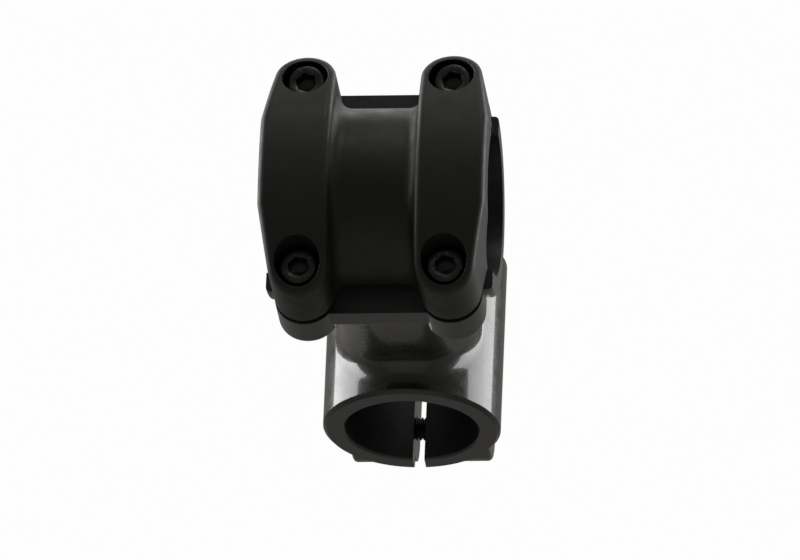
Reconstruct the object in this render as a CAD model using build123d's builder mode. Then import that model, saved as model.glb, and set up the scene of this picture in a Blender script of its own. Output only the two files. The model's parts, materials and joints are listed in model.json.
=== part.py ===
"""Threadless handlebar stem, 70 mm long, for a 28.6 mm steerer tube and a 31.8 mm handlebar.

Frame: millimetres, origin on the steerer axis at the lower face of the steerer clamp. +Z runs up the
steerer axis, -Y runs forward to the handlebar, +X is the rider's left. Plane.XZ.offset(d) is the
upright plane d forward of the steerer axis: its sketches read (x, z) and extrude forward.
"""
from build123d import *
import os

# ---- driving dimensions -------------------------------------------------------------------------
steerer_r = 14.3  # 1 1/8 inch steerer tube
bar_r = 15.9  # 31.8 mm handlebar
extension = 70.0  # steerer axis to bar axis
clamp_height = 40.0
clamp_r = 19.0  # outside of the steerer clamp
clamp_width = 48.0  # bar clamp, along the bar
rim_chamfer = 0.8
bore_chamfer = 0.4

bolt_x = 15.5  # half the spacing of the faceplate bolts along the bar
bolt_z = 21.5  # half their spacing above and below the bar
boss_r = 6.5  # faceplate's bosses, seen from the front
shoulder_r = 4.0  # ribs flare from the bosses to the ends of the clamp
shoulder_z = 9.5  # height of a shoulder's centre, from the bar axis
split_gap = 1.6  # between faceplate and body

body_wall_r = 20.3  # outside of the body's half of the bar clamp
lug_height = 28.0  # body's tapped lugs, from the bar axis
lug_foot = 13.0  # their other end
lug_corner = 6.4
lip_outline = ((0, 10.0), (0, 25.6), (6, 25.6), (20, 14.0))  # lips between them: behind the bar axis, up
arm_fillet = 5.0
bar_fillet = 3.0
bar_end_fillet = 1.0
web_r = 19.8  # outside of the faceplate between its ribs
rib_crest = 22.0  # front of the ribs, forward of the bar axis
rib_curve_r = 48.0  # side-view radius of the ribs' front
rib_fillet = 1.5
web_fillet = 3.0

arm_sections = (  # forward of the steerer axis, width, height, corner radius
    (8, 32.0, 30.0, 13.0),
    (34, 29.0, 29.0, 12.0),
    (60, 42.0, 35.0, 14.0),
)
core = (20.0, 19.0, 7.0)  # hollow through the arm: width, height, corner radius
lug_taper = 61.0  # where a lug starts to taper, forward of the steerer axis
lug_root = (42.0, 9.8, 8.4, 6.0, 2.9)  # its end inside the arm: forward, x, z off the bar, side, corner

# M5 socket head cap screws, their washers and holes
screw_r = 2.5
screw_head_r = 4.25
screw_head_height = 5.0
screw_chamfer = 0.4
socket_across_flats = 4.0
socket_depth = 2.6
washer_r = 4.5
washer_hole_r = 2.65
washer_thickness = 1.0
clearance_hole_r = 2.75
tapped_hole_r = 2.55
counterbore_r = 4.9
faceplate_screw_length = 18.0
pinch_screw_length = 20.0
faceplate_seat = 8.0  # counterbore floor, forward of the bar axis
tapped_depth = 11.0  # behind the bar axis

# Slot and ears of the steerer clamp
slot_width = 2.5
ear_half_width = 15.0
ear_r = 7.0
ear_fillet = 1.0
pinch_y = 20.0  # pinch bolts, behind the steerer axis
pinch_z = (30.0, 10.0)  # the upper one enters from +X, the lower from -X
pinch_seat = 7.6  # counterbore floor, from the middle plane

bar_z = clamp_height / 2
body_split = extension - split_gap / 2
face_split = extension + split_gap / 2
signs = [(side, rise) for rise in (1, -1) for side in (-1, 1)]
corners = [(side * bolt_x, bar_z + rise * bolt_z) for side, rise in signs]
cut_size = 80.0  # larger than anything it cuts away
upward = (Align.CENTER, Align.CENTER, Align.MIN)
downward = (Align.CENTER, Align.CENTER, Align.MAX)
to_front = (Align.CENTER, Align.MAX, Align.CENTER)
to_rear = (Align.CENTER, Align.MIN, Align.CENTER)


def forward_of(distance, x, z):
    """Plane at (x, z), distance forward of the steerer axis, facing forward."""
    return Plane(origin=(x, -distance, z), x_dir=(1, 0, 0), z_dir=(0, -1, 0))


def sideways(side, distance, z):
    """Plane on a pinch bolt's axis, distance out from the middle plane, facing out on one side."""
    return Plane(origin=(side * distance, pinch_y, z), x_dir=(0, 1, 0), z_dir=(side, 0, 0))


def circles(part, radius):
    """Circular edges of one radius."""
    edges = part.edges().filter_by(GeomType.CIRCLE)
    return edges.filter_by(lambda edge: abs(edge.radius - radius) < 0.01)


with BuildPart() as stem_body:
    # Steerer clamp
    Cylinder(clamp_r, clamp_height, align=upward)
    chamfer(stem_body.edges().filter_by(GeomType.CIRCLE), rim_chamfer)

    # Ears behind it
    with BuildSketch(Plane.YZ):
        with Locations((pinch_y / 2, bar_z)):
            Rectangle(pinch_y, pinch_z[0] - pinch_z[1] + 2 * ear_r)
        with Locations((pinch_y, bar_z)):
            Rectangle(2 * ear_r, pinch_z[0] - pinch_z[1])
        with Locations(*[(pinch_y, z) for z in pinch_z]):
            Circle(ear_r)
    extrude(amount=ear_half_width, both=True)
    ear_sides = stem_body.faces().filter_by(Axis.X)
    fillet(ear_sides.edges().filter_by(lambda edge: edge.center().Y > pinch_y - ear_r), ear_fillet)

    # Arm, waisted, with a fillet where it leaves the steerer clamp
    for distance, width, height, corner in arm_sections:
        with BuildSketch(Plane.XZ.offset(distance)):
            with Locations((0, bar_z)):
                RectangleRounded(width, height, corner)
    loft()
    splines = stem_body.edges().filter_by(GeomType.BSPLINE)
    fillet(splines.filter_by(lambda edge: -18 < edge.center().Y < -8), arm_fillet)

    # Rear half of the bar clamp, with a fillet where the arm meets it
    with BuildSketch(Plane.YZ):
        with Locations((-extension, bar_z)):
            Circle(body_wall_r)
    extrude(amount=clamp_width / 2, both=True)
    splines = stem_body.edges().filter_by(GeomType.BSPLINE).filter_by(lambda edge: edge.length > 10)
    fillet(splines.filter_by(lambda edge: -60 < edge.center().Y < -49), bar_fillet)
    fillet(circles(stem_body, body_wall_r), bar_end_fillet)

    # Tapped lugs, fading back into the arm
    root_forward, root_x, root_z, root_side, root_corner = lug_root
    lug_z = (lug_height + lug_foot) / 2
    for side, rise in signs:
        start = forward_of(lug_taper, side * bolt_x, bar_z + rise * lug_z)
        with BuildSketch(start):
            RectangleRounded(2 * boss_r, lug_height - lug_foot, lug_corner)
        extrude(amount=extension - lug_taper)
        with BuildSketch(start):
            RectangleRounded(2 * boss_r, lug_height - lug_foot, lug_corner)
        with BuildSketch(forward_of(root_forward, side * root_x, bar_z + rise * root_z)):
            RectangleRounded(root_side, root_side, root_corner)
        loft()

    # Clamp lips between the lugs
    with BuildSketch(Plane.YZ):
        for rise in (1, -1):
            with BuildLine():
                points = [(behind - extension, bar_z + rise * up) for behind, up in lip_outline]
                Polyline(*points, close=True)
            make_face()
    extrude(amount=bolt_x, both=True)

    # Front face, bores, hollow core and slot
    with Locations((0, -body_split, bar_z)):
        Box(cut_size, cut_size, cut_size, align=to_front, mode=Mode.SUBTRACT)
    with Locations((0, 0, bar_z)):
        Cylinder(steerer_r, clamp_height + 2, mode=Mode.SUBTRACT)
    with Locations((0, -extension, bar_z)):
        Cylinder(bar_r, clamp_width + 2, rotation=(0, 90, 0), mode=Mode.SUBTRACT)
    chamfer(circles(stem_body, steerer_r), bore_chamfer)
    with BuildSketch(Plane.XZ):
        with Locations((0, bar_z)):
            RectangleRounded(*core)
    extrude(amount=extension, mode=Mode.SUBTRACT)
    with Locations((0, 0, bar_z)):
        Box(slot_width, 2 * clamp_r, clamp_height + 2, align=to_rear, mode=Mode.SUBTRACT)

    # Tapped holes for the faceplate
    with Locations(*[forward_of(extension - tapped_depth, x, z) for x, z in corners]):
        Cylinder(tapped_hole_r, 2 * tapped_depth, align=upward, mode=Mode.SUBTRACT)

    # Pinch bolt holes: clearance and counterbore on the head's side, tapped on the other
    for side, z in zip((1, -1), pinch_z):
        with Locations(sideways(side, 0, z)):
            Cylinder(clearance_hole_r, clamp_r, align=upward, mode=Mode.SUBTRACT)
            Cylinder(tapped_hole_r, clamp_r, align=downward, mode=Mode.SUBTRACT)
        with Locations(sideways(side, pinch_seat, z)):
            Cylinder(counterbore_r, clamp_r, align=upward, mode=Mode.SUBTRACT)

with BuildPart() as faceplate:
    # Ribs, flaring from the bosses to the ends of the clamp, with a curved front
    with BuildSketch(Plane.XZ.offset(face_split)):
        for rise in (1, -1):
            with Locations((bolt_x, bar_z + rise * bolt_z)):
                Circle(boss_r)
            with Locations((clamp_width / 2 - shoulder_r, bar_z + rise * shoulder_z)):
                Circle(shoulder_r)
        make_hull()
        mirror(about=Plane.YZ)
    extrude(amount=2 * rib_crest)
    with Locations((0, rib_curve_r - rib_crest - extension, bar_z)):
        Cylinder(rib_curve_r, 2 * clamp_width, rotation=(0, 90, 0), mode=Mode.INTERSECT)
    rib_fronts = faceplate.faces().filter_by(lambda face: face.center().Y < -extension - bar_r)
    fillet(rib_fronts.edges(), rib_fillet)

    # Web between them, rear face and bar bore
    with BuildSketch(Plane.YZ):
        with Locations((-extension, bar_z)):
            Circle(web_r)
    extrude(amount=bolt_x, both=True)
    with Locations((0, -face_split, bar_z)):
        Box(cut_size, cut_size, cut_size, align=to_rear, mode=Mode.SUBTRACT)
    fillet(circles(faceplate, web_r), web_fillet)
    with Locations((0, -extension, bar_z)):
        Cylinder(bar_r, clamp_width + 2, rotation=(0, 90, 0), mode=Mode.SUBTRACT)

    # Bolt holes
    with Locations(*[forward_of(extension, x, z) for x, z in corners]):
        Cylinder(clearance_hole_r, 2 * rib_crest, mode=Mode.SUBTRACT)
    with Locations(*[forward_of(extension + faceplate_seat, x, z) for x, z in corners]):
        Cylinder(counterbore_r, rib_crest, align=upward, mode=Mode.SUBTRACT)


def socket_screw(seat, length):
    """Socket head cap screw whose head stands on the seat plane and shank runs down behind it."""
    with BuildPart(seat) as screw:
        Cylinder(screw_head_r, screw_head_height, align=upward)
        Cylinder(screw_r, length, align=downward)
        rims = circles(screw, screw_head_r).sort_by(Axis(seat.origin, seat.z_dir))
        tips = circles(screw, screw_r).sort_by(Axis(seat.origin, seat.z_dir))
        chamfer([rims[-1], tips[0]], screw_chamfer)
        with BuildSketch(seat.offset(screw_head_height)):
            RegularPolygon(socket_across_flats / 2, 6, major_radius=False)
        extrude(amount=-socket_depth, mode=Mode.SUBTRACT)
    return screw


def washer(seat):
    """Flat washer lying on the seat plane."""
    with BuildPart(seat) as ring:
        Cylinder(washer_r, washer_thickness, align=upward)
        Cylinder(washer_hole_r, 2 * washer_thickness, align=upward, mode=Mode.SUBTRACT)
    return ring


pieces = {"stem_body": stem_body, "faceplate": faceplate}
for (x, z), corner in zip(corners, ("upper_right", "upper_left", "lower_right", "lower_left")):
    seat = forward_of(extension + faceplate_seat, x, z)
    pieces[f"faceplate_washer_{corner}"] = washer(seat)
    head_seat = seat.offset(washer_thickness)
    pieces[f"faceplate_bolt_{corner}"] = socket_screw(head_seat, faceplate_screw_length)
for side, z, level in zip((1, -1), pinch_z, ("upper", "lower")):
    seat = sideways(side, pinch_seat, z)
    pieces[f"pinch_washer_{level}"] = washer(seat)
    head_seat = seat.offset(washer_thickness)
    pieces[f"pinch_bolt_{level}"] = socket_screw(head_seat, pinch_screw_length)

os.makedirs("parts", exist_ok=True)
for name, piece in pieces.items():
    piece.part.label = name
    export_step(piece.part, f"parts/{name}.step")
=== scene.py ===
import json
import math

import bpy
from mathutils import Matrix, Vector

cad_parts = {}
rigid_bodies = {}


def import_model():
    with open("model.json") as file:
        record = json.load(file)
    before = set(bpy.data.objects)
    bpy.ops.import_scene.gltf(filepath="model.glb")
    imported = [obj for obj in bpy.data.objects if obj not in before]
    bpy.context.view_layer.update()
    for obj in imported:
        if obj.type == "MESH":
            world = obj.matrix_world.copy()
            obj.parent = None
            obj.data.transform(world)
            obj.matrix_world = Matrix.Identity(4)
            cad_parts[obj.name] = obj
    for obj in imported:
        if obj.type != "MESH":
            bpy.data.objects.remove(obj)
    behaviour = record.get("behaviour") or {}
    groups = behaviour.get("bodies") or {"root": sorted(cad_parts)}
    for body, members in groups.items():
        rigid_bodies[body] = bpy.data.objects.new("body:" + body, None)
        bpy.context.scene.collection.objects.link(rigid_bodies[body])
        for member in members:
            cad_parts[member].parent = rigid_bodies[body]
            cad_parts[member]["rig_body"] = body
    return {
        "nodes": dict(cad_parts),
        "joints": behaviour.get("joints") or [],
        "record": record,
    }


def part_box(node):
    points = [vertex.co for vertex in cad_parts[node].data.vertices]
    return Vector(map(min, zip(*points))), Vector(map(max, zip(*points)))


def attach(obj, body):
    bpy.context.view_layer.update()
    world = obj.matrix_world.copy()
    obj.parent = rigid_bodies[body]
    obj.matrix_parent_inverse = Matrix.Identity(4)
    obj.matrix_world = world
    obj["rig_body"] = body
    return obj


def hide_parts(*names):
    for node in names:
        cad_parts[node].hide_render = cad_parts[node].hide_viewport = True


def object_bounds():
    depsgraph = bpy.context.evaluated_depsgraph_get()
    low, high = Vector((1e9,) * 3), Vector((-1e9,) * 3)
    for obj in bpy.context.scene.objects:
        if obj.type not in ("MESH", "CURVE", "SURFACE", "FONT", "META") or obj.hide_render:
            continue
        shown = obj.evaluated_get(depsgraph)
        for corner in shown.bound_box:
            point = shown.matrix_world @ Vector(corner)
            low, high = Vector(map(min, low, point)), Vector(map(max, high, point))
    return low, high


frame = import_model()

cad_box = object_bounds()

# A threadless handlebar stem, in metres. The body and the faceplate keep their CAD shapes and get
# coated materials. The screws and washers are meshes with knurls, hexagon sockets and threads.


def middle(node):
    """Centre of a node's box."""
    low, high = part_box(node)
    return (low + high) / 2


def reach(node, axis):
    """Length of a node along an axis."""
    low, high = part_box(node)
    return abs((high - low).dot(axis))


MM = 0.001
mounts = {mount["name"]: mount for mount in frame["record"]["mounts"]}
screw_joints = {joint["child"]: joint for joint in frame["joints"] if joint["type"] == "hinge"}
front_screw = middle("faceplate_bolt_upper_left")
front_tip_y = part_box("faceplate_bolt_upper_left")[1].y
pinch_screw = middle("pinch_bolt_upper")

BAR_CENTRE = Vector(mounts["handlebar_clamp"]["pos_m"])
BAR_R = mounts["handlebar_clamp"]["dims"]["r_mm"] * MM
STEERER_R = mounts["steerer_clamp"]["dims"]["r_mm"] * MM
SPLIT = BAR_CENTRE.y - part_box("faceplate")[1].y  # from the bar axis to the faceplate, and to the body
PITCH = 0.8 * MM  # M5 thread
TAPPED_R = 2.55 * MM
PAST_TIP = 2.1 * MM  # the faceplate screws' holes end this far behind their tips

# ---- camera: low in front of the stem, a little to the rider's left -----------------------------
TO_CAMERA = Vector((0.107, -0.894, -0.436)).normalized()
PICTURE_UP = Vector((0.0, -0.350, 0.937))
CAMERA_DISTANCE = 4.4
PICTURE_WIDTH = 0.170  # of the plane through the object's middle
SENSOR_WIDTH = 36.0

centre = (cad_box[0] + cad_box[1]) / 2
scene = bpy.context.scene
camera = bpy.data.objects.new("camera", bpy.data.cameras.new("camera"))
scene.collection.objects.link(camera)
scene.camera = camera
camera.data.sensor_width = SENSOR_WIDTH
camera.data.lens = SENSOR_WIDTH * CAMERA_DISTANCE / PICTURE_WIDTH
camera.data.clip_start = 0.1
camera.data.clip_end = 30.0
right = PICTURE_UP.cross(TO_CAMERA).normalized()
up = TO_CAMERA.cross(right)
turn = Matrix((right, up, TO_CAMERA)).transposed().to_4x4()
camera.matrix_world = Matrix.Translation(centre + TO_CAMERA * CAMERA_DISTANCE) @ turn
scene.view_settings.view_transform = "Standard"


class Tree:
    """Short calls for building a node tree."""

    def __init__(self, tree):
        self.tree = tree
        tree.nodes.clear()

    def add(self, kind, settings=None, **inputs):
        node = self.tree.nodes.new("ShaderNode" + kind)
        for key, value in (settings or {}).items():
            setattr(node, key, value)
        for key, value in inputs.items():
            self.feed(node.inputs[key.replace("_", " ")], value)
        return node

    def feed(self, socket, value):
        if isinstance(value, bpy.types.NodeSocket):
            self.tree.links.new(value, socket)
        else:
            socket.default_value = value

    def math(self, operation, a, b=0.0):
        node = self.add("Math", {"operation": operation})
        self.feed(node.inputs[0], a)
        self.feed(node.inputs[1], b)
        return node.outputs[0]

    def steps(self, value, low, high, bottom=0.0, top=1.0):
        """Smooth step from bottom to top while value goes from low to high."""
        node = self.add("MapRange", {"interpolation_type": "SMOOTHSTEP"})
        for socket, number in zip(node.inputs, (value, low, high, bottom, top)):
            self.feed(socket, number)
        return node.outputs[0]

    def split(self, vector):
        return self.add("SeparateXYZ", Vector=vector).outputs

    def noise(self, vector, scale, detail=2.0, roughness=0.5):
        node = self.add("TexNoise", Vector=vector, Scale=scale, Detail=detail, Roughness=roughness)
        return node.outputs["Fac"]

    def blend(self, factor, a, b):
        """Colour a where factor is 0 and colour b where it is 1."""
        node = self.add("Mix", {"data_type": "RGBA"})
        # sockets by number, because the node's number, vector and colour sockets share their names
        self.feed(node.inputs[0], factor)
        self.feed(node.inputs[6], a)
        self.feed(node.inputs[7], b)
        return node.outputs[2]

    def mix(self, factor, a, b):
        """Shader a where factor is 0 and shader b where it is 1."""
        node = self.add("MixShader", Fac=factor)
        self.feed(node.inputs[1], a.outputs[0])
        self.feed(node.inputs[2], b.outputs[0])
        return node

    def bump(self, height, distance, strength=1.0, normal=None):
        node = self.add("Bump", Strength=strength, Distance=distance, Height=height)
        if normal is not None:
            self.feed(node.inputs["Normal"], normal)
        return node.outputs["Normal"]

    def radius(self, first, second):
        """Distance from a line, from the two offsets across it."""
        squares = [self.math("MULTIPLY", offset, offset) for offset in (first, second)]
        return self.math("SQRT", self.math("ADD", *squares))

    def waves(self, length, pitch):
        """Sine wave over a length, one for each pitch."""
        return self.math("SINE", self.math("MULTIPLY", length, 2 * math.pi / pitch))


def material(name):
    """New material and its emptied node tree."""
    made = bpy.data.materials.new(name)
    made.use_nodes = True
    return made, Tree(made.node_tree)


# ---- floor, surroundings and lights -------------------------------------------------------------
FLOOR_Z = -4.6  # below the camera in every view
FLOOR_HALF = 2.9
FLOOR_TONES = ((0.76, 0.76, 0.75, 1.0), (0.82, 0.82, 0.81, 1.0))
BACKGROUND = (0.985, 0.985, 0.985, 1.0)  # what the camera sees behind the object
ROOM = (1.0, 0.97, 0.90, 1.0)  # what lights it, and shows in its reflections
ROOM_GLOW = 0.16
CEILING_GLOW = 0.20  # added towards straight above
FRONT_SHADE = 0.05  # taken off in front of the stem

world = bpy.data.worlds.new("studio")
scene.world = world
world.use_nodes = True
sky = Tree(world.node_tree)
toward = sky.split(sky.add("TexCoord").outputs["Generated"])
above = sky.steps(toward["Z"], 0.40, 1.0, top=CEILING_GLOW)
ahead = sky.steps(toward["Y"], -0.45, -0.75, top=FRONT_SHADE)
glow = sky.math("SUBTRACT", sky.math("ADD", above, ROOM_GLOW), ahead)
felt = sky.add("Background", Color=ROOM, Strength=glow)
seen = sky.add("Background", Color=BACKGROUND, Strength=1.0)
both = sky.mix(sky.add("LightPath").outputs["Is Camera Ray"], felt, seen)
sky.add("OutputWorld", Surface=both.outputs[0])


def softbox(name, direction, distance, size, power):
    """Area light facing the object from one direction."""
    lamp = bpy.data.objects.new(name, bpy.data.lights.new(name, "AREA"))
    scene.collection.objects.link(lamp)
    lamp.data.shape = "RECTANGLE"
    lamp.data.size, lamp.data.size_y = size
    lamp.data.energy = power
    lamp.visible_camera = False
    away = Vector(direction).normalized()
    facing = away.to_track_quat("Z", "Y").to_matrix().to_4x4()
    lamp.matrix_world = Matrix.Translation(centre + away * distance) @ facing


# left and right as in the picture
softbox("rim", direction=(0.0, 0.55, 1.0), distance=1.2, size=(1.1, 0.35), power=2.5)
softbox("left side", direction=(-0.98, 0.10, 0.40), distance=1.2, size=(0.95, 1.2), power=16)
softbox("right side", direction=(0.98, 0.30, 0.40), distance=1.2, size=(0.95, 1.2), power=13)
softbox("high front", direction=(0.25, -0.8, 1.3), distance=2.0, size=(0.9, 0.9), power=4)

pale, tree = material("pale floor")
grain = tree.noise(tree.add("TexCoord").outputs["Object"], scale=6.0, detail=4.0)
shader = tree.add("BsdfPrincipled", Base_Color=tree.blend(grain, *FLOOR_TONES), Roughness=0.7)
tree.add("OutputMaterial", Surface=shader.outputs[0])

mesh = bpy.data.meshes.new("floor")
signs = ((-1, -1), (1, -1), (1, 1), (-1, 1))
mesh.from_pydata([(x * FLOOR_HALF, y * FLOOR_HALF, FLOOR_Z) for x, y in signs], [], [(0, 1, 2, 3)])
mesh.materials.append(pale)
floor = bpy.data.objects.new("floor", mesh)
scene.collection.objects.link(floor)


# ---- body and faceplate: coated forgings with machined places -----------------------------------
EDGE_ROUND = 0.5 * MM
WORN_TONE = (0.10, 0.098, 0.095, 1.0)
LINE_HALF = 0.45 * MM  # half the parting line's width
LINE_CREST = 0.12 * MM  # half the width of its top
LINE_FRONT = (-52 * MM, -47 * MM)  # where it fades in behind the bar clamp
LINE_BACK = (-17 * MM, -20 * MM)  # where it fades out at the steerer clamp
CUT_TONES = ((0.050, 0.050, 0.052, 1.0), (0.085, 0.085, 0.088, 1.0))
TURNING_FEED = 0.24 * MM
MILLING_FEED = 0.5 * MM
CUTTER_X = -0.09  # middle of the arcs that the milling cutter left
NEAR_STEERER = 0.15 * MM  # a point this near to a machined wall is on it
NEAR_BAR = 0.08 * MM
NEAR_CUT = 0.05 * MM


def worn_edges(tree, face, smudge):
    """Normal with the edges a little round, and where the coat is worn through on them."""
    rounded = tree.add("Bevel", {"samples": 8}, Radius=EDGE_ROUND).outputs[0]
    alike = tree.add("VectorMath", {"operation": "DOT_PRODUCT"})
    tree.feed(alike.inputs[0], rounded)
    tree.feed(alike.inputs[1], face)
    edge = tree.steps(alike.outputs["Value"], 0.96, 0.78)
    return rounded, tree.math("MULTIPLY", edge, tree.steps(smudge, 0.54, 0.70, top=0.8))


def parting_line(tree, y, height, face):
    """Line that the forging dies left along both sides of the arm."""
    sideways = tree.math("ABSOLUTE", tree.split(face)["X"])
    line = tree.steps(tree.math("ABSOLUTE", height), LINE_HALF, LINE_CREST)
    line = tree.math("MULTIPLY", line, tree.steps(sideways, 0.75, 0.92))
    line = tree.math("MULTIPLY", line, tree.steps(y, *LINE_FRONT))
    return tree.math("MULTIPLY", line, tree.steps(y, *LINE_BACK))


def bores(tree, x, y, z, ahead, height):
    """Where the two bores are, and the rings of their turning."""
    in_steerer = tree.math("LESS_THAN", tree.radius(x, y), STEERER_R + NEAR_STEERER)
    in_bar = tree.math("LESS_THAN", tree.radius(ahead, height), BAR_R + NEAR_BAR)
    down_steerer = tree.math("MULTIPLY", z, in_steerer)
    along_bar = tree.math("MULTIPLY", x, in_bar)
    rings = tree.waves(tree.math("ADD", down_steerer, along_bar), TURNING_FEED)
    return tree.math("MAXIMUM", in_steerer, in_bar), rings


def split_faces(tree, x, ahead, height):
    """Where faceplate and body face each other, and the arcs of their milling."""
    off_face = tree.math("SUBTRACT", tree.math("ABSOLUTE", ahead), SPLIT)
    on_face = tree.math("LESS_THAN", tree.math("ABSOLUTE", off_face), NEAR_CUT)
    from_cutter = tree.radius(tree.math("SUBTRACT", x, CUTTER_X), height)
    return on_face, tree.waves(from_cutter, MILLING_FEED)


def tapped_holes(tree, x, y, height):
    """Where the holes for the screws are, and the threads in them."""
    mirrored_x = tree.math("ABSOLUTE", x)
    mirrored_z = tree.math("ABSOLUTE", height)
    across_x = tree.math("SUBTRACT", mirrored_x, front_screw.x)
    across_z = tree.math("SUBTRACT", mirrored_z, front_screw.z - BAR_CENTRE.z)
    in_front = tree.math("LESS_THAN", tree.radius(across_x, across_z), TAPPED_R + NEAR_CUT)
    in_front = tree.math("MULTIPLY", in_front, tree.math("LESS_THAN", y, front_tip_y + PAST_TIP))
    across_y = tree.math("SUBTRACT", y, pinch_screw.y)
    across_z = tree.math("SUBTRACT", mirrored_z, pinch_screw.z - BAR_CENTRE.z)
    in_back = tree.math("LESS_THAN", tree.radius(across_y, across_z), TAPPED_R + NEAR_CUT)
    front_depth = tree.math("MULTIPLY", y, in_front)
    back_depth = tree.math("MULTIPLY", x, in_back)
    threads = tree.waves(tree.math("ADD", front_depth, back_depth), PITCH)
    return tree.math("MAXIMUM", in_front, in_back), threads


def black_coat(name, rough, gloss, gloss_rough, tones):
    """Black coat over forged alloy, with turned bores, milled split faces and tapped holes."""
    made, tree = material(name)
    place = tree.add("TexCoord").outputs["Object"]
    x, y, z = tree.split(place)
    ahead = tree.math("SUBTRACT", y, BAR_CENTRE.y)
    height = tree.math("SUBTRACT", z, BAR_CENTRE.z)
    face = tree.add("NewGeometry").outputs["Normal"]
    broad = tree.noise(place, scale=90.0, detail=6.0, roughness=0.6)
    smudge = tree.noise(place, scale=260.0, detail=5.0, roughness=0.65)
    skin = tree.noise(place, scale=900.0, detail=3.0, roughness=0.55)
    grit = tree.noise(place, scale=4200.0)

    # a slightly warm black
    dark, light = ((tone, 0.96 * tone, 0.86 * tone, 1.0) for tone in tones)
    rounded, worn = worn_edges(tree, face, smudge)
    normal = tree.bump(grit, 0.010 * MM, 0.35, rounded)
    normal = tree.bump(skin, 0.030 * MM, 0.40, normal)
    normal = tree.bump(broad, 0.060 * MM, 0.50, normal)
    normal = tree.bump(parting_line(tree, y, height, face), 0.12 * MM, 0.6, normal)
    coat = tree.add(
        "BsdfPrincipled",
        Base_Color=tree.blend(worn, tree.blend(broad, dark, light), WORN_TONE),
        Roughness=tree.steps(smudge, 0.3, 0.7, rough - 0.05, rough + 0.09),
        Coat_Weight=gloss,
        Coat_Roughness=gloss_rough,
        Normal=normal,
    )

    bore, rings = bores(tree, x, y, z, ahead, height)
    milled, arcs = split_faces(tree, x, ahead, height)
    tapped, threads = tapped_holes(tree, x, y, height)
    normal = tree.bump(tree.math("MULTIPLY", rings, bore), 0.008 * MM, 0.6)
    normal = tree.bump(tree.math("MULTIPLY", arcs, milled), 0.006 * MM, 0.5, normal)
    normal = tree.bump(tree.math("MULTIPLY", threads, tapped), 0.16 * MM, 1.0, normal)
    cut = tree.add(
        "BsdfPrincipled",
        Base_Color=tree.blend(broad, *CUT_TONES),
        Metallic=0.75,
        Roughness=tree.steps(smudge, 0.3, 0.7, 0.30, 0.44),
        Normal=normal,
    )
    machined = tree.math("MAXIMUM", tree.math("MAXIMUM", bore, milled), tapped)
    tree.add("OutputMaterial", Surface=tree.mix(machined, coat, cut).outputs[0])
    return made


GLOSS_TONES = (0.0065, 0.0105)
MATT_TONES = (0.0135, 0.0195)
gloss_black = black_coat("gloss black coat", rough=0.26, gloss=0.8, gloss_rough=0.07, tones=GLOSS_TONES)
matt_black = black_coat("matt black coat", rough=0.48, gloss=0.0, gloss_rough=0.30, tones=MATT_TONES)
for node, coat in (("stem_body", gloss_black), ("faceplate", matt_black)):
    slots = frame["nodes"][node].data.materials
    slots.clear()
    slots.append(coat)


# ---- screws and washers -------------------------------------------------------------------------
HEAD_R = 4.25 * MM
HEAD_HEIGHT = 5.0 * MM
KNURL_TEETH = 42
KNURL_DEPTH = 0.16 * MM
HEAD_POINTS = 168
HEX_HALF = 2.0 * MM  # half across the flats
SOCKET_DEPTH = 2.6 * MM
SOCKET_MOUTH_R = 2.55 * MM
MOUTH_SLOPE = 0.45  # depth of the mouth's cone for each step inwards
SCREW_R = 2.5 * MM
THREAD_ROOT_R = 2.08 * MM
TIP_R = 1.83 * MM
SHANK_R = 2.46 * MM  # plain part between head and thread
SHANK_LENGTH = 0.6 * MM
INTO_HEAD = 0.5 * MM  # its end is sunk this far in the head
FLANK_SLOPE = 3.2  # rise over one pitch, with 1 from root to crest
ROOT_FLAT = 0.25  # the flanks would meet this far below the root, which is cut flat
THREAD_POINTS = 40
STEPS_PER_TURN = 8
WASHER_HOLE_R = 2.65 * MM
WASHER_POINTS = 96


def plated(name, dark, light, rough, scuffed):
    """Plated steel, rubbed brighter in small patches."""
    made, tree = material(name)
    place = tree.add("TexCoord").outputs["Object"]
    broad = tree.noise(place, scale=420.0, detail=5.0, roughness=0.6)
    fine = tree.noise(place, scale=4200.0, detail=3.0, roughness=0.6)
    rubbed = tree.steps(tree.noise(place, scale=900.0, detail=4.0, roughness=0.7), 0.56, 0.70)
    rounded = tree.add("Bevel", {"samples": 6}, Radius=0.12 * MM).outputs[0]
    shader = tree.add(
        "BsdfPrincipled",
        Base_Color=tree.blend(rubbed, tree.blend(broad, dark, light), scuffed),
        Metallic=1.0,
        Roughness=tree.steps(broad, 0.3, 0.7, rough - 0.06, rough + 0.1),
        Normal=tree.bump(fine, 0.008 * MM, 0.5, rounded),
    )
    tree.add("OutputMaterial", Surface=shader.outputs[0])
    return made


black_oxide = plated(
    "black oxide steel",
    dark=(0.050, 0.049, 0.049, 1.0),
    light=(0.095, 0.093, 0.092, 1.0),
    rough=0.33,
    scuffed=(0.19, 0.19, 0.19, 1.0),
)
black_zinc = plated(
    "black zinc plate",
    dark=(0.055, 0.056, 0.060, 1.0),
    light=(0.10, 0.10, 0.11, 1.0),
    rough=0.26,
    scuffed=(0.20, 0.20, 0.21, 1.0),
)


def around(count, radius, z):
    """One ring of points; radius and z are numbers or functions of the angle."""
    ring = []
    for i in range(count):
        angle = 2 * math.pi * i / count
        r = radius(angle) if callable(radius) else radius
        level = z(angle) if callable(z) else z
        ring.append(Vector((r * math.cos(angle), r * math.sin(angle), level)))
    return ring


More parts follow.
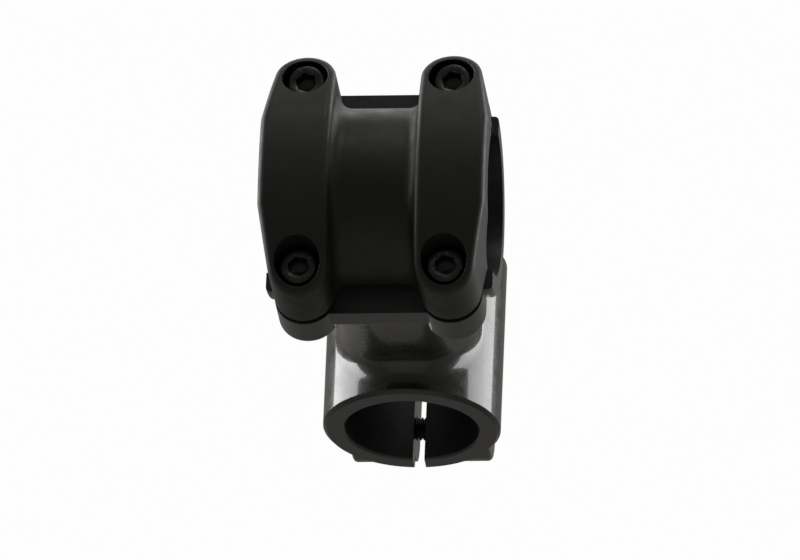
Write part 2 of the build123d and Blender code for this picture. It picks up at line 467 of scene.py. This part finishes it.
def shell(rings, endless=False):
    """Points and faces of a closed skin over rings of equal length.

    It has a flat lid on its first and last ring, or is endless, from the last ring back to the first.
    """
    count = len(rings[0])
    points = [point for ring in rings for point in ring]
    faces = []
    pairs = list(zip(range(len(rings) - 1), range(1, len(rings))))
    if endless:
        pairs.append((len(rings) - 1, 0))
    for a, b in pairs:
        for i in range(count):
            j = (i + 1) % count
            faces.append((a * count + i, a * count + j, b * count + j, b * count + i))
    if not endless:
        faces.append(list(range(count))[::-1])
        faces.append(list(range(len(points) - count, len(points))))
    return points, faces


def knurled(angle):
    return HEAD_R - KNURL_DEPTH * (0.5 - 0.5 * math.cos(KNURL_TEETH * angle))


def hexagonal(angle):
    return HEX_HALF / math.cos((angle % (math.pi / 3)) - math.pi / 6)


def head_rings():
    """Knurled head from its seat over the top and down the hexagon socket to the drilled bottom."""
    top = HEAD_HEIGHT
    bottom = top - SOCKET_DEPTH
    outline = [
        (SCREW_R, 0.0),
        (HEAD_R - 0.35 * MM, 0.0),
        (HEAD_R - 0.18 * MM, 0.12 * MM),
        (knurled, 0.35 * MM),
        (knurled, top - 0.75 * MM),
        (HEAD_R - 0.14 * MM, top - 0.55 * MM),
        (HEAD_R - 0.22 * MM, top - 0.30 * MM),
        (HEAD_R - 0.42 * MM, top - 0.10 * MM),
        (HEAD_R - 0.70 * MM, top),
        (SOCKET_MOUTH_R, top),
        (hexagonal, lambda angle: top - MOUTH_SLOPE * (SOCKET_MOUTH_R - hexagonal(angle))),
        (hexagonal, bottom),
        (HEX_HALF * 0.8, bottom),
        (0.25 * MM, bottom - 0.5 * MM),
    ]
    return [around(HEAD_POINTS, radius, z) for radius, z in outline]


def thread_radius(z, length):
    """Function that gives the radius of a screw's thread at one level, for each angle."""
    runout = min(1.0, max(0.0, (-z - SHANK_LENGTH) / PITCH))

    def radius(angle):
        phase = (z / PITCH - angle / (2 * math.pi)) % 1.0
        flank = min(1.0, max(0.0, FLANK_SLOPE * abs(phase - 0.5) - ROOT_FLAT))
        thread = THREAD_ROOT_R + (SCREW_R - THREAD_ROOT_R) * flank
        return min(SHANK_R + (thread - SHANK_R) * runout, TIP_R + length + z)

    return radius


def thread_rings(length):
    """Rolled right-hand thread, from a chamfered tip up into the head."""
    count = int(length / PITCH * STEPS_PER_TURN)
    levels = [length * (step / count - 1) for step in range(count + 1)]
    rings = [around(THREAD_POINTS, thread_radius(z, length), z) for z in levels]
    rings.append(around(THREAD_POINTS, SHANK_R, INTO_HEAD))
    return rings


def washer_rings(thickness, rim_r):
    """Stamped washer: one side rolled over, the other with a crisp edge."""
    outline = [
        (WASHER_HOLE_R, 0.20 * MM),
        (WASHER_HOLE_R + 0.06 * MM, 0.06 * MM),
        (WASHER_HOLE_R + 0.18 * MM, 0.0),
        (rim_r - 0.16 * MM, 0.0),
        (rim_r - 0.03 * MM, 0.05 * MM),
        (rim_r, 0.18 * MM),
        (rim_r, thickness - 0.28 * MM),
        (rim_r - 0.06 * MM, thickness - 0.12 * MM),
        (rim_r - 0.20 * MM, thickness - 0.02 * MM),
        (rim_r - 0.36 * MM, thickness),
        (WASHER_HOLE_R + 0.26 * MM, thickness),
        (WASHER_HOLE_R + 0.08 * MM, thickness - 0.06 * MM),
        (WASHER_HOLE_R, thickness - 0.22 * MM),
    ]
    return [around(WASHER_POINTS, radius, z) for radius, z in outline]


def placed(node, shells, seat, axis, coat):
    """Object that stands for a node: shells on a seat, facing along an axis."""
    points, faces = [], []
    for shell_points, shell_faces in shells:
        start = len(points)
        points += shell_points
        faces += [[start + i for i in face] for face in shell_faces]
    side = axis.orthogonal().normalized()
    turn = Matrix((side, axis.cross(side), axis)).transposed()
    mesh = bpy.data.meshes.new(f"{node}_detail")
    mesh.from_pydata([seat + turn @ point for point in points], [], faces)
    mesh.polygons.foreach_set("use_smooth", [True] * len(mesh.polygons))
    mesh.set_sharp_from_angle(angle=math.radians(35))
    mesh.materials.append(coat)
    made = bpy.data.objects.new(f"{node}_detail", mesh)
    scene.collection.objects.link(made)
    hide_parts(node)
    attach(made, frame["nodes"][node]["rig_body"])
    return made


for screw_node, joint in screw_joints.items():
    axis = Vector(joint["axis"])
    full_length = reach(screw_node, axis)
    seat = middle(screw_node) + axis * (full_length / 2 - HEAD_HEIGHT)
    shells = [shell(head_rings()), shell(thread_rings(full_length - HEAD_HEIGHT))]
    screw = placed(screw_node, shells, seat, axis, black_oxide)

    washer_node = screw_node.replace("bolt", "washer")
    thickness = reach(washer_node, axis)
    rim_r = reach(washer_node, Vector((0, 0, 1))) / 2
    seat = middle(washer_node) - axis * (thickness / 2)
    rings = washer_rings(thickness, rim_r)
    washer = placed(washer_node, [shell(rings, endless=True)], seat, axis, black_zinc)
